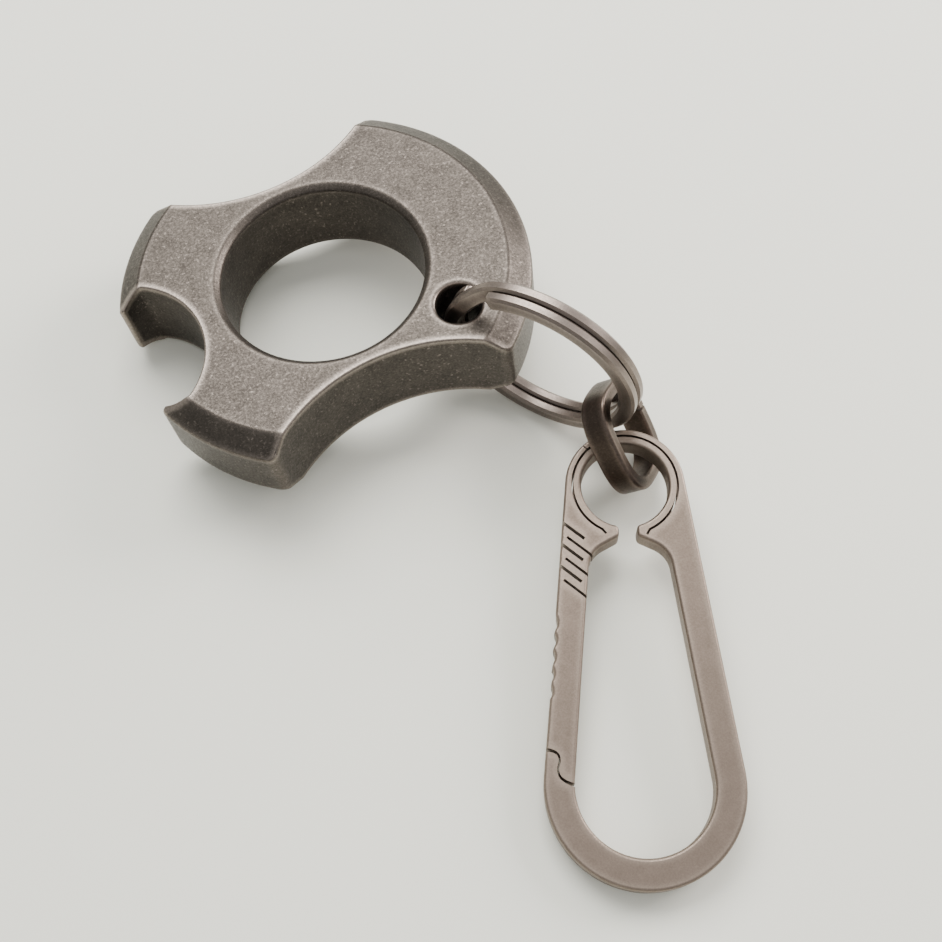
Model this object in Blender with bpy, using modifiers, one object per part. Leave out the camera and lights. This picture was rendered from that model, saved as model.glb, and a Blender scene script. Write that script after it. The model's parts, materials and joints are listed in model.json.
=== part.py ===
"""Keychain bottle opener: a finger-hole opener, split ring, oval link and one-piece carabiner.

Lengths are metres, +Z is up, and every piece is built flat in its own frame, then placed.
"""
import math

import bmesh
import bpy
from mathutils import Matrix, Vector

MM = 0.001
NAME = "keychain_bottle_opener"

# Opener: u runs from the notch to the back lobe, v across it, z = 0 is the underside.
OPENER_T = 10.3 * MM
FINGER_R = 11.25 * MM
FINGER_CHAMFER = 0.65 * MM
OUTER_R = 22.9 * MM
BEVEL_IN = 2.5 * MM
BEVEL_DROP = 1.8 * MM
SCALLOP_R = 20.0 * MM
SCALLOP_V = 33.3 * MM
LOBE_CORNER_R = 1.1 * MM
NOTCH_R = 9.45 * MM
NOTCH_U = -23.9 * MM
NOTCH_CORNER_R = 0.7 * MM
TIP_R = 0.4 * MM
HOOK_POINTS = ((-18.6, 7.75), (-20.35, 7.3), (-21.9, 6.1))
RING_HOLE_R = 2.5 * MM
RING_HOLE_CHAMFER = 0.25 * MM
RING_HOLE_UV = (11.17 * MM, -11.27 * MM)
OPENER_EDGE = 0.35 * MM
OPENER_AT = (-5.336 * MM, 22.957 * MM, 2.754 * MM)
OPENER_TILT = math.radians(7.763)
OPENER_TILT_TOWARDS = math.radians(-22.0)
OPENER_TURN = math.radians(16.86)

# Split ring: two flat turns side by side, one strand crossing over beside the first end.
RING_R_OUT = 11.42 * MM
RING_R_IN = 9.52 * MM
RING_WIDTH = 2.6 * MM
RING_SLIT = 0.14 * MM
RING_END_DEG = 54.0
RING_CROSS_DEG = 36.0
RING_LAST_DEG = 374.0
RING_EDGE = 0.28 * MM
RING_STEP_DEG = 4.0
RING_TIP_ROUND = 0.35 * MM
RING_TIP_ANGLE = 70.0
RING_AT = (15.440 * MM, 9.970 * MM, 11.600 * MM)
RING_AXIS_AZ = math.radians(52.52)
RING_AXIS_EL = math.radians(4.21)

# Oval link: a flat band bent into an oval, with a thin slit across one leg.
LINK_HALF_LONG = 6.08 * MM
LINK_HALF_WIDE = 5.15 * MM
LINK_POWER = 2.87
LINK_WALL = 1.45 * MM
LINK_BAND = 2.9 * MM
LINK_EDGE = 0.3 * MM
LINK_SLIT = 0.28 * MM
LINK_SLIT_AT = -1.5 * MM
LINK_SLIT_LEAN = math.radians(24.0)
LINK_AT = (23.570 * MM, 2.420 * MM, 5.930 * MM)
LINK_HANGS_AT = (23.12 * MM, 4.51 * MM, 7.02 * MM)
LINK_YAW = math.radians(27.50)
LINK_PITCH = math.radians(-37.54)
LINK_ROLL = math.radians(36.59)

# Carabiner: the eye centre is the origin, +y runs up through the eye, z = 0 is the top face.
PLATE_T = 3.0 * MM
EYE_R = 4.68 * MM
EYE_OUT_R = 6.4 * MM
BOW_Y = -31.5 * MM
BOW_OUT_R = 10.0 * MM
ARM_W = 3.1 * MM
THROAT_HALF = 0.97 * MM
LIP_Y = -5.75 * MM
LIP_SLOPE = math.radians(-27.0)
SHOULDER_R = 3.0 * MM
SPRING_SLOT_R = 5.61 * MM
SPRING_SLOT_W = 0.2 * MM
SPRING_SLOT_DEG = (-66.0, 241.0)
SPRING_HOOK_DEG = (-120.0, -52.0)
SPRING_HOOK_L = 0.65 * MM
STOP_CUT_DEG = 132.5
STOP_CUT_W = 0.14 * MM
SLOT_DIR_DEG = -40.2
SLOT_FIRST = -7.52 * MM
SLOT_PITCH = 0.98 * MM
SLOT_W_OUT = 0.2 * MM
SLOT_W_IN = 0.28 * MM
SLOT_LIGAMENT = 0.75 * MM
GRIP_FIRST_Y = -14.9 * MM
GRIP_PITCH = 1.77 * MM
GRIP_COUNT = 5
GRIP_R = 1.6 * MM
GRIP_DEPTH = 0.2 * MM
PLATE_EDGE = 0.3 * MM
OUTER_SLOTS = (0, 2, 4)
SPLIT_SLOTS = (1, 3, 5)
RIM_HELD_AT = (0.9 * MM, 5.6 * MM)
EYE_SIDES = 96
GRIP_SIDES = 48
EYE_AT = (22.430 * MM, -3.690 * MM, 6.630 * MM)
PLATE_X = (0.98456, -0.14544, 0.09819)
PLATE_N = (-0.10793, -0.06072, 0.99231)

# Latch: the middle line of the S-shaped gap, from the outer edge inwards, in plate millimetres.
LATCH_LINE = (
    (-10.8, -27.7), (-9.4, -27.8), (-8.5, -28.2), (-8.3, -28.9), (-8.5, -29.8),
    (-8.2, -30.6), (-7.2, -31.2), (-6.2, -31.2),
)
LATCH_GAP_MIDDLE = 0.2 * MM
LATCH_GAP_ENDS = 0.52 * MM
LATCH_STEPS = 4
GATE_OVERRUN = 3.0 * MM
GATE_REACH = 7.5 * MM
FLEXURE_REACH = 8.0 * MM

ARC_STEP = math.radians(4.0)
SCREW_STEPS = 90
MERGE = 0.00001
SMALLEST_STEP = 0.02 * MM
CUT_SPARE = 1.0 * MM
SAW_TOP = CUT_SPARE
SAW_BOTTOM = -PLATE_T - CUT_SPARE


def collection(name, hidden=False):
    found = bpy.data.collections.new(name)
    bpy.context.scene.collection.children.link(found)
    found.hide_render = hidden
    return found


def material(name, colour, roughness):
    made = bpy.data.materials.new(name)
    made.use_nodes = True
    shader = made.node_tree.nodes["Principled BSDF"]
    shader.inputs["Base Color"].default_value = (*colour, 1.0)
    shader.inputs["Metallic"].default_value = 1.0
    shader.inputs["Roughness"].default_value = roughness
    made.diffuse_color = (*colour, 1.0)
    return made


def arc(centre, radius, start, end):
    """Points along an arc from start to end, both included, on a shared grid of angles."""
    low = min(start, end)
    high = max(start, end)
    first = math.floor(low / ARC_STEP) + 1
    last = math.ceil(high / ARC_STEP)
    turns = [start] + [i * ARC_STEP for i in range(first, last)] + [end]
    turns.sort(reverse=start > end)
    if len(turns) == 2:
        turns.insert(1, (start + end) / 2)
    return [Vector((centre[0] + radius * math.cos(a), centre[1] + radius * math.sin(a))) for a in turns]


def angle_of(point, centre):
    return math.atan2(point[1] - centre[1], point[0] - centre[0])


def short_arc(centre, radius, start_point, end_point):
    """The shorter arc between two points on a circle."""
    start = angle_of(start_point, centre)
    sweep = (angle_of(end_point, centre) - start + math.pi) % math.tau - math.pi
    return arc(centre, radius, start, start + sweep)


def meet(centre_a, reach_a, centre_b, reach_b, near):
    """The crossing of two circles that is nearest to a point."""
    a = Vector(centre_a)
    b = Vector(centre_b)
    gap = (b - a).length
    along = (reach_a ** 2 - reach_b ** 2 + gap ** 2) / (2 * gap)
    across = math.sqrt(reach_a ** 2 - along ** 2)
    direction = (b - a) / gap
    side = Vector((-direction.y, direction.x))
    options = [a + direction * along + side * across, a + direction * along - side * across]
    return min(options, key=lambda p: (p - Vector(near)).length)


def touch(centre, radius, blend_centre):
    """Where a blend circle touches a circle about centre."""
    return Vector(centre) + (Vector(blend_centre) - Vector(centre)).normalized() * radius


def circle_through(points):
    """Centre and radius of the circle through three points."""
    (ax, ay), (bx, by), (cx, cy) = points
    d = 2 * (ax * (by - cy) + bx * (cy - ay) + cx * (ay - by))
    a2 = ax * ax + ay * ay
    b2 = bx * bx + by * by
    c2 = cx * cx + cy * cy
    ux = (a2 * (by - cy) + b2 * (cy - ay) + c2 * (ay - by)) / d
    uy = (a2 * (cx - bx) + b2 * (ax - cx) + c2 * (bx - ax)) / d
    return Vector((ux, uy)), math.hypot(ax - ux, ay - uy)


def tidy_points(points):
    """Drop points that repeat the one before."""
    kept = []
    for point in points:
        if not kept or (Vector(point) - kept[-1]).length > SMALLEST_STEP:
            kept.append(Vector(point))
    if (kept[0] - kept[-1]).length < SMALLEST_STEP:
        kept.pop()
    return kept


def join_mesh(name, mesh, home):
    made = bpy.data.objects.new(name, mesh)
    home.objects.link(made)
    return made


def slab(name, outlines, bottom, top, home):
    """A flat plate from closed outlines; outlines inside the first are holes."""
    curve = bpy.data.curves.new(name + "_outline", "CURVE")
    curve.dimensions = "2D"
    curve.fill_mode = "BOTH"
    curve.extrude = (top - bottom) / 2
    for outline in outlines:
        points = tidy_points(outline)
        spline = curve.splines.new("POLY")
        spline.points.add(len(points) - 1)
        for spot, point in zip(spline.points, points):
            spot.co = (point[0], point[1], 0.0, 1.0)
        spline.use_cyclic_u = True
    return curve_solid(name, curve, Matrix.Translation((0, 0, (top + bottom) / 2)), home)


def curve_solid(name, curve, matrix, home):
    """Turn a curve into a closed mesh and remove the curve."""
    holder = bpy.data.objects.new(name + "_curve", curve)
    home.objects.link(holder)
    holder.matrix_world = matrix
    bpy.context.view_layer.update()
    graph = bpy.context.evaluated_depsgraph_get()
    mesh = bpy.data.meshes.new_from_object(holder.evaluated_get(graph))
    mesh.transform(matrix)
    bpy.data.objects.remove(holder)
    bpy.data.curves.remove(curve)
    weld(mesh)
    mesh.name = name
    return join_mesh(name, mesh, home)


def weld(mesh):
    work = bmesh.new()
    work.from_mesh(mesh)
    bmesh.ops.remove_doubles(work, verts=work.verts, dist=MERGE)
    bmesh.ops.recalc_face_normals(work, faces=work.faces)
    work.to_mesh(mesh)
    work.free()


def turned(name, profile, home):
    """A solid of revolution about z from a closed (radius, z) profile."""
    mesh = bpy.data.meshes.new(name)
    work = bmesh.new()
    spots = [work.verts.new((radius, 0.0, z)) for radius, z in profile]
    for first, second in zip(spots, spots[1:] + spots[:1]):
        work.edges.new((first, second))
    work.to_mesh(mesh)
    work.free()
    made = join_mesh(name, mesh, home)
    screw = made.modifiers.new("Turn", "SCREW")
    screw.steps = SCREW_STEPS
    screw.render_steps = SCREW_STEPS
    screw.use_merge_vertices = True
    screw.merge_threshold = MERGE
    screw.use_normal_calculate = True
    return baked(made)


def pin(name, radius, bottom, top, spot, home, sides=48):
    """A plain cylinder that stands on the xy plane."""
    mesh = bpy.data.meshes.new(name)
    work = bmesh.new()
    place_at = Matrix.Translation((spot[0], spot[1], (top + bottom) / 2))
    bmesh.ops.create_cone(work, cap_ends=True, segments=sides, radius1=radius, radius2=radius,
                          depth=top - bottom, matrix=place_at)
    work.to_mesh(mesh)
    work.free()
    return join_mesh(name, mesh, home)


def baked(made):
    """Apply every modifier."""
    bpy.context.view_layer.update()
    graph = bpy.context.evaluated_depsgraph_get()
    mesh = bpy.data.meshes.new_from_object(made.evaluated_get(graph))
    old = made.data
    made.modifiers.clear()
    made.data = mesh
    bpy.data.meshes.remove(old)
    weld(mesh)
    return made


def combine(made, other, operation):
    step = made.modifiers.new(operation.title(), "BOOLEAN")
    step.operation = operation
    step.solver = "EXACT"
    step.object = other
    return baked(made)


def round_edges(made, width, segments, angle=30.0):
    step = made.modifiers.new("Edge", "BEVEL")
    step.width = width
    step.segments = segments
    step.limit_method = "ANGLE"
    step.angle_limit = math.radians(angle)
    step.use_clamp_overlap = True
    return baked(made)


def finish(made, matrix, origin, look):
    """Place a piece in the world, with its own origin on its joint."""
    made.data.transform(Matrix.Translation(-origin) @ matrix)
    made.location = origin
    made.data.materials.clear()
    made.data.materials.append(look)
    for face in made.data.polygons:
        face.use_smooth = True
    made.data.set_sharp_from_angle(angle=math.radians(28.0))
    return made


def mirrored(points):
    return [Vector((p.x, -p.y)) for p in reversed(points)]


def opener_outline():
    """Half the plan from the back of the lobe round to the notch, then its mirror."""
    middle = (0.0, 0.0)
    scallop = (0.0, SCALLOP_V)
    notch = (NOTCH_U, 0.0)
    hook, hook_r = circle_through([(u * MM, v * MM) for u, v in HOOK_POINTS])
    lobe_near = (13.5 * MM, 18.5 * MM)
    prong_near = (-13.5 * MM, 18.5 * MM)
    tip_near = (-22.0 * MM, 6.5 * MM)
    corner_near = (-18.6 * MM, 7.5 * MM)
    lobe = meet(middle, OUTER_R - LOBE_CORNER_R, scallop, SCALLOP_R + LOBE_CORNER_R, lobe_near)
    prong = meet(middle, OUTER_R - LOBE_CORNER_R, scallop, SCALLOP_R + LOBE_CORNER_R, prong_near)
    tip = meet(middle, OUTER_R - TIP_R, hook, hook_r + TIP_R, tip_near)
    corner = meet(hook, hook_r - NOTCH_CORNER_R, notch, NOTCH_R - NOTCH_CORNER_R, corner_near)
    lobe_out = touch(middle, OUTER_R, lobe)
    lobe_in = touch(scallop, SCALLOP_R, lobe)
    prong_in = touch(scallop, SCALLOP_R, prong)
    prong_out = touch(middle, OUTER_R, prong)
    tip_out = touch(middle, OUTER_R, tip)
    tip_in = touch(hook, hook_r, tip)
    corner_out = touch(hook, hook_r, corner)
    corner_in = touch(notch, NOTCH_R, corner)
    half = arc(middle, OUTER_R, 0.0, angle_of(lobe_out, middle))
    half += short_arc(lobe, LOBE_CORNER_R, lobe_out, lobe_in)
    half += short_arc(scallop, SCALLOP_R, lobe_in, prong_in)
    half += short_arc(prong, LOBE_CORNER_R, prong_in, prong_out)
    half += short_arc(middle, OUTER_R, prong_out, tip_out)
    half += short_arc(tip, TIP_R, tip_out, tip_in)
    half += short_arc(hook, hook_r, tip_in, corner_out)
    half += short_arc(corner, NOTCH_CORNER_R, corner_out, corner_in)
    half += short_arc(notch, NOTCH_R, corner_in, (NOTCH_U + NOTCH_R, 0.0))
    return half + mirrored(half)


def opener_matrix():
    towards = Vector((math.cos(OPENER_TILT_TOWARDS), math.sin(OPENER_TILT_TOWARDS), 0.0))
    axis = Vector((towards.y, -towards.x, 0.0))
    tilt = Matrix.Rotation(OPENER_TILT, 4, axis)
    return Matrix.Translation(OPENER_AT) @ tilt @ Matrix.Rotation(OPENER_TURN, 4, "Z")


def build_opener(home, cutters, look):
    reach = CUT_SPARE
    body = slab("opener_body", [opener_outline()], -reach, OPENER_T + reach, home)
    inner = FINGER_R
    slope = BEVEL_DROP / BEVEL_IN
    turned_form = turned("opener_form", [
        (inner + FINGER_CHAMFER, OPENER_T),
        (OUTER_R - BEVEL_IN, OPENER_T),
        (OUTER_R + reach, OPENER_T - BEVEL_DROP - reach * slope),
        (OUTER_R + reach, BEVEL_DROP + reach * slope),
        (OUTER_R - BEVEL_IN, 0.0),
        (inner + FINGER_CHAMFER, 0.0),
        (inner, FINGER_CHAMFER),
        (inner, OPENER_T - FINGER_CHAMFER),
    ], cutters)
    combine(body, turned_form, "INTERSECT")
    hole_r = RING_HOLE_R + RING_HOLE_CHAMFER
    drill = turned("ring_hole_drill", [
        (0.0, OPENER_T + reach),
        (hole_r + reach, OPENER_T + reach),
        (RING_HOLE_R, OPENER_T - RING_HOLE_CHAMFER),
        (RING_HOLE_R, RING_HOLE_CHAMFER),
        (hole_r + reach, -reach),
        (0.0, -reach),
    ], cutters)
    drill.data.transform(Matrix.Translation((*RING_HOLE_UV, 0.0)))
    combine(body, drill, "DIFFERENCE")
    round_edges(body, OPENER_EDGE, 1)
    return finish(body, opener_matrix(), Vector(OPENER_AT), look)


def ring_matrix():
    axis = Vector((
        math.cos(RING_AXIS_EL) * math.cos(RING_AXIS_AZ),
        math.cos(RING_AXIS_EL) * math.sin(RING_AXIS_AZ),
        math.sin(RING_AXIS_EL),
    ))
    side = Vector((0.0, 0.0, 1.0)).cross(axis).normalized()
    up = axis.cross(side)
    turn = Matrix((side, up, axis)).transposed().to_4x4()
    return Matrix.Translation(RING_AT) @ turn


def ring_offset(turned_deg, lane):
    """Side-to-side place of the strand after it has run through an angle."""
    start = 360.0 - RING_CROSS_DEG
    share = min(1.0, max(0.0, (turned_deg - start) / RING_CROSS_DEG))
    eased = share * share * (3.0 - 2.0 * share)
    return lane * (2.0 * eased - 1.0)


def ring_profile(half_t, half_w):
    """A rectangle with its corners cut off, as a flat curve."""
    cut = RING_EDGE
    corners = [
        (half_t, half_w - cut), (half_t - cut, half_w), (cut - half_t, half_w), (-half_t, half_w - cut),
        (-half_t, cut - half_w), (cut - half_t, -half_w), (half_t - cut, -half_w), (half_t, cut - half_w),
    ]
    profile = bpy.data.curves.new("ring_profile", "CURVE")
    profile.dimensions = "2D"
    shape = profile.splines.new("POLY")
    shape.points.add(len(corners) - 1)
    for spot, (x, y) in zip(shape.points, corners):
        spot.co = (x, y, 0.0, 1.0)
    shape.use_cyclic_u = True
    return profile


def ring_path(mean_r, lane):
    """The strand's middle line: once round, across at the first end, and once more round."""
    total = 360.0 + RING_LAST_DEG - RING_CROSS_DEG
    path = bpy.data.curves.new("ring_path", "CURVE")
    path.dimensions = "3D"
    path.twist_mode = "Z_UP"
    path.use_fill_caps = True
    line = path.splines.new("POLY")
    count = int(total / RING_STEP_DEG)
    line.points.add(count)
    for i, spot in enumerate(line.points):
        turned_deg = total * i / count
        angle = math.radians(RING_END_DEG + turned_deg)
        height = ring_offset(turned_deg, lane)
        spot.co = (mean_r * math.cos(angle), mean_r * math.sin(angle), height, 1.0)
    return path


def build_ring(home, look):
    """One strand that runs round twice; its profile is a chamfered rectangle."""
    half_w = (RING_WIDTH - RING_SLIT) / 4
    half_t = (RING_R_OUT - RING_R_IN) / 2
    profile = ring_profile(half_t, half_w)
    former = bpy.data.objects.new("ring_profile", profile)
    home.objects.link(former)
    path = ring_path((RING_R_OUT + RING_R_IN) / 2, (RING_WIDTH + RING_SLIT) / 4)
    path.bevel_mode = "OBJECT"
    path.bevel_object = former
    strand = curve_solid("split_ring", path, Matrix.Identity(4), home)
    bpy.data.objects.remove(former)
    bpy.data.curves.remove(profile)
    round_edges(strand, RING_TIP_ROUND, 2, RING_TIP_ANGLE)
    hole = opener_matrix() @ Vector((*RING_HOLE_UV, OPENER_T / 2))
    return finish(strand, ring_matrix(), hole, look)


def oval(half_long, half_wide):
    """A superellipse with its long axis on x."""
    points = []
    for i in range(96):
        a = math.tau * i / 96
        x = math.copysign(abs(math.cos(a)) ** (2 / LINK_POWER), math.cos(a)) * half_long
        y = math.copysign(abs(math.sin(a)) ** (2 / LINK_POWER), math.sin(a)) * half_wide
        points.append(Vector((x, y)))
    return points


def link_matrix():
    down = Vector((
        math.sin(LINK_YAW) * math.cos(LINK_PITCH),
        -math.cos(LINK_YAW) * math.cos(LINK_PITCH),
        math.sin(LINK_PITCH),
    ))
    level = down.cross(Vector((0.0, 0.0, 1.0))).normalized()
    if level.x < 0:
        level = -level
    rise = level.cross(down)
    if rise.z < 0:
        rise = -rise
    across = level * math.cos(LINK_ROLL) - rise * math.sin(LINK_ROLL)
    axis = level * math.sin(LINK_ROLL) + rise * math.cos(LINK_ROLL)
    return Matrix.Translation(LINK_AT) @ Matrix((down, across, axis)).transposed().to_4x4()


def build_link(home, cutters, look):
    half = LINK_BAND / 2
    outlines = [oval(LINK_HALF_LONG, LINK_HALF_WIDE),
                oval(LINK_HALF_LONG - LINK_WALL, LINK_HALF_WIDE - LINK_WALL)]
    band = slab("oval_link", outlines, -half, half, home)
    round_edges(band, LINK_EDGE, 2)
    reach = 4.0 * MM
    saw = slab("link_saw", [[(-LINK_SLIT / 2, -reach), (LINK_SLIT / 2, -reach),
                             (LINK_SLIT / 2, reach), (-LINK_SLIT / 2, reach)]], -reach, reach, cutters)
    lean = Matrix.Rotation(LINK_SLIT_LEAN, 4, "Y")
    saw.data.transform(Matrix.Translation((LINK_SLIT_AT, LINK_HALF_WIDE, 0.0)) @ lean)
    combine(band, saw, "DIFFERENCE")
    return finish(band, link_matrix(), link_pivot(), look)


def link_pivot():
    """Centre of the ring strand where the link hangs on it."""
    return Vector(LINK_HANGS_AT)


def plate_matrix():
    across = Vector(PLATE_X).normalized()
    normal = Vector(PLATE_N).normalized()
    along = normal.cross(across).normalized()
    across = along.cross(normal)
    return Matrix.Translation(EYE_AT) @ Matrix((across, along, normal)).transposed().to_4x4()


def arm_slope():
    return math.asin((BOW_OUT_R - EYE_OUT_R) / -BOW_Y)


def plate_outline():
    """Outside of the carabiner: the eye's rim, two straight arms and the bow."""
    slope = arm_slope()
    bow = (0.0, BOW_Y)
    rim = arc((0.0, 0.0), EYE_OUT_R, slope, math.pi - slope)
    return rim + arc(bow, BOW_OUT_R, math.pi - slope, math.tau + slope)


def shoulder(side):
    """Inner line from the lip to the top of a straight arm, on one side."""
    slope = arm_slope()
    out = Vector((math.cos(slope), math.sin(slope)))
    on_arm = Vector((0.0, BOW_Y)) + out * (BOW_OUT_R - ARM_W)
    lip = Vector((THROAT_HALF, LIP_Y))
    run = Vector((math.cos(LIP_SLOPE), math.sin(LIP_SLOPE)))
    below = Vector((run.y, -run.x))
    # The blend centre lies SHOULDER_R below the lip line and SHOULDER_R inside the arm line.
    base = lip + below * SHOULDER_R
    want = on_arm - out * SHOULDER_R
    reach = (want - base).dot(out) / run.dot(out)
    centre = base + run * reach
    start = centre - below * SHOULDER_R
    end = centre + out * SHOULDER_R
    points = [lip] + short_arc(centre, SHOULDER_R, start, end)
    return [Vector((p.x * side, p.y)) for p in points]


def window_outline():
    """The main opening below the throat."""
    slope = arm_slope()
    right = shoulder(1.0)
    left = shoulder(-1.0)
    bow = arc((0.0, BOW_Y), BOW_OUT_R - ARM_W, slope, -math.pi - slope)
    return right + bow + list(reversed(left))


def slot_frame():
    angle = math.radians(SLOT_DIR_DEG)
    along = Vector((math.cos(angle), math.sin(angle)))
    normal = Vector((-along.y, along.x))
    return along, normal


def arm_edge(level, outer):
    """Where a slot line meets the outer or inner edge of the gate arm."""
    along, normal = slot_frame()
    slope = arm_slope()
    out = Vector((-math.cos(slope), math.sin(slope)))
    reach = BOW_OUT_R if outer else BOW_OUT_R - ARM_W
    base = normal * level
    offset = (Vector((0.0, BOW_Y)) + out * reach - base).dot(out)
    return base + along * (offset / along.dot(out))


def bar(start, end, width):
    """A straight strip from start to end."""
    direction = (Vector(end) - Vector(start)).normalized()
    side = Vector((-direction.y, direction.x)) * (width / 2)
    return [start - side, end - side, end + side, start + side]


def slot_level(index):
    return SLOT_FIRST - SLOT_PITCH * index


def outer_slot(index):
    """A slot that is open at the outer edge."""
    along, _ = slot_frame()
    level = slot_level(index)
    start = arm_edge(level, True) - along * CUT_SPARE
    end = arm_edge(level, False) - along * SLOT_LIGAMENT
    return bar(start, end, SLOT_W_OUT)


def hinge_spot(index):
    """Middle of the thin outer web beside a split slot, half way down the plate."""
    along, _ = slot_frame()
    spot = arm_edge(slot_level(index), True) + along * (SLOT_LIGAMENT / 2)
    return plate_matrix() @ Vector((spot.x, spot.y, -PLATE_T / 2))


def spring_slot():
    """The thin arc round the eye, as one closed outline with a short hook at each end."""
    low, high = (math.radians(a) for a in SPRING_SLOT_DEG)
    half = SPRING_SLOT_W / 2
    outside = arc((0.0, 0.0), SPRING_SLOT_R + half, low, high)
    inside = arc((0.0, 0.0), SPRING_SLOT_R - half, high, low)
    return outside + inside


def spring_hook(at_deg, turn_deg):
    angle = math.radians(at_deg)
    start = Vector((math.cos(angle), math.sin(angle))) * SPRING_SLOT_R
    way = math.radians(turn_deg)
    end = start + Vector((math.cos(way), math.sin(way))) * SPRING_HOOK_L
    back = start - Vector((math.cos(way), math.sin(way))) * (SPRING_SLOT_W / 4)
    return bar(back, end, SPRING_SLOT_W)


def grip_cut(index):
    """One shallow scallop of the thumb grip."""
    slope = arm_slope()
    out = Vector((-math.cos(slope), math.sin(slope)))
    along = Vector((-math.sin(slope), -math.cos(slope)))
    base = Vector((0.0, BOW_Y)) + out * BOW_OUT_R
    y = GRIP_FIRST_Y - GRIP_PITCH * index
    spot = base + along * ((y - base.y) / along.y)
    return spot + out * (GRIP_R - GRIP_DEPTH)


def flexure_region(top_index, bottom_index):
    """The arm between two split slots, as a region wider than the arm."""
    along, normal = slot_frame()
    middle = arm_edge(slot_level(top_index), True).dot(along)
    outer = along * (middle - GATE_OVERRUN)
    inner = along * (middle + FLEXURE_REACH)
    top = normal * (slot_level(top_index) - SLOT_W_IN / 2)
    bottom = normal * (slot_level(bottom_index) + SLOT_W_IN / 2)
    return [outer + top, inner + top, inner + bottom, outer + bottom]


def latch_side(side):
    """One wall of the latch gap: side 1 is the gate's nose, side -1 the frame's hook."""
    points = [Vector(p) * MM for p in LATCH_LINE]
    padded = [points[0] * 2 - points[1]] + points + [points[-1] * 2 - points[-2]]
    last = LATCH_STEPS * (len(points) - 1)
    wall = []
    for i in range(last + 1):
        k = min(i // LATCH_STEPS, len(points) - 2)
        t = i / LATCH_STEPS - k
        a, b, c, d = padded[k:k + 4]
        spot = b + ((c - a) * t + (a * 2 - b * 5 + c * 4 - d) * t ** 2 + (b * 3 - a - c * 3 + d) * t ** 3) / 2
        run = ((c - a) + (a * 2 - b * 5 + c * 4 - d) * 2 * t + (b * 3 - a - c * 3 + d) * 3 * t ** 2).normalized()
        share = 2 * i / last - 1
        gap = LATCH_GAP_MIDDLE + (LATCH_GAP_ENDS - LATCH_GAP_MIDDLE) * share ** 2
        wall.append(spot + Vector((-run.y, run.x)) * (side * gap / 2))
    return wall


def gate_region(side, level):
    """The arm from a slot level down to one side of the latch gap."""
    along, _ = slot_frame()
    edge = arm_edge(level, True)
    start = edge - along * GATE_OVERRUN
    end = edge + along * GATE_REACH
    wall = latch_side(side)
    low = wall[-1] + Vector((1.7 * MM, 0.0))
    return [start, end, low] + list(reversed(wall))


def plate_blank(home, cutters):
    """The flat plate with its eye, throat, window and thumb grip, edges rounded."""
    plate = slab("carabiner_frame", [plate_outline(), window_outline()], -PLATE_T, 0.0, home)
    combine(plate, pin("eye_drill", EYE_R, SAW_BOTTOM, SAW_TOP, (0.0, 0.0), cutters, EYE_SIDES), "DIFFERENCE")
    above_lip = LIP_Y / 2
    below_lip = LIP_Y - CUT_SPARE
    throat = [Vector((-THROAT_HALF, above_lip)), Vector((-THROAT_HALF, below_lip)),
              Vector((THROAT_HALF, below_lip)), Vector((THROAT_HALF, above_lip))]
    saw(plate, "throat", throat, cutters)
    for i in range(GRIP_COUNT):
        grip = pin(f"grip_{i}", GRIP_R, SAW_BOTTOM, SAW_TOP, grip_cut(i), cutters, GRIP_SIDES)
        combine(plate, grip, "DIFFERENCE")
    return round_edges(plate, PLATE_EDGE, 2)


def saw(plate, name, outline, cutters):
    """Cut an outline right through the plate."""
    combine(plate, slab(name + "_saw", [outline], SAW_BOTTOM, SAW_TOP, cutters), "DIFFERENCE")


def cut_slots(plate, cutters):
    """The eye's spring slot with its hooks, the stop cut, and the slots open at the outer edge."""
    saw(plate, "spring", spring_slot(), cutters)
    for at, turn in zip(SPRING_SLOT_DEG, SPRING_HOOK_DEG):
        saw(plate, "spring_hook", spring_hook(at, turn), cutters)
    cut = math.radians(STOP_CUT_DEG)
    ray = Vector((math.cos(cut), math.sin(cut)))
    saw(plate, "stop", bar(ray * SPRING_SLOT_R, ray * (EYE_OUT_R + CUT_SPARE), STOP_CUT_W), cutters)
    for index in OUTER_SLOTS:
        saw(plate, f"outer_slot_{index}", outer_slot(index), cutters)


def build_carabiner(home, cutters, look):
    """One plate, split at every other slot of its flexure so that the gate can move."""
    plate = plate_blank(home, cutters)
    cut_slots(plate, cutters)
    first, second, third = SPLIT_SLOTS
    nose = gate_region(1, slot_level(third) - SLOT_W_IN / 2)
    regions = {
        "flexure_upper": (first, flexure_region(first, second)),
        "flexure_lower": (second, flexure_region(second, third)),
        "carabiner_gate": (third, nose),
    }
    for name, (index, region) in regions.items():
        piece = join_mesh(name, plate.data.copy(), home)
        keep = slab(name + "_region", [region], SAW_BOTTOM, SAW_TOP, cutters)
        combine(piece, keep, "INTERSECT")
        finish(piece, plate_matrix(), hinge_spot(index), look)
    saw(plate, "gate", gate_region(-1, slot_level(first) + SLOT_W_IN / 2), cutters)
    finish(plate, plate_matrix(), eye_pivot(), look)


def eye_pivot():
    """Middle of the eye's rim where the link holds it."""
    return plate_matrix() @ Vector((*RIM_HELD_AT, -PLATE_T / 2))


def main():
    for old in list(bpy.data.objects):
        bpy.data.objects.remove(old)
    parts = collection(NAME)
    cutters = collection("cutters", hidden=True)
    dark = material("stonewashed_dark_titanium", (0.16, 0.145, 0.135), 0.48)
    satin = material("satin_titanium", (0.42, 0.37, 0.34), 0.36)
    bronze = material("stonewashed_link", (0.13, 0.115, 0.105), 0.46)
    blasted = material("blasted_titanium", (0.36, 0.31, 0.28), 0.52)
    build_opener(parts, cutters, dark)
    build_ring(parts, satin)
    build_link(parts, cutters, bronze)
    build_carabiner(parts, cutters, blasted)
    for cutter in cutters.objects:
        cutter.display_type = "WIRE"
        cutter.hide_render = True


main()
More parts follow.
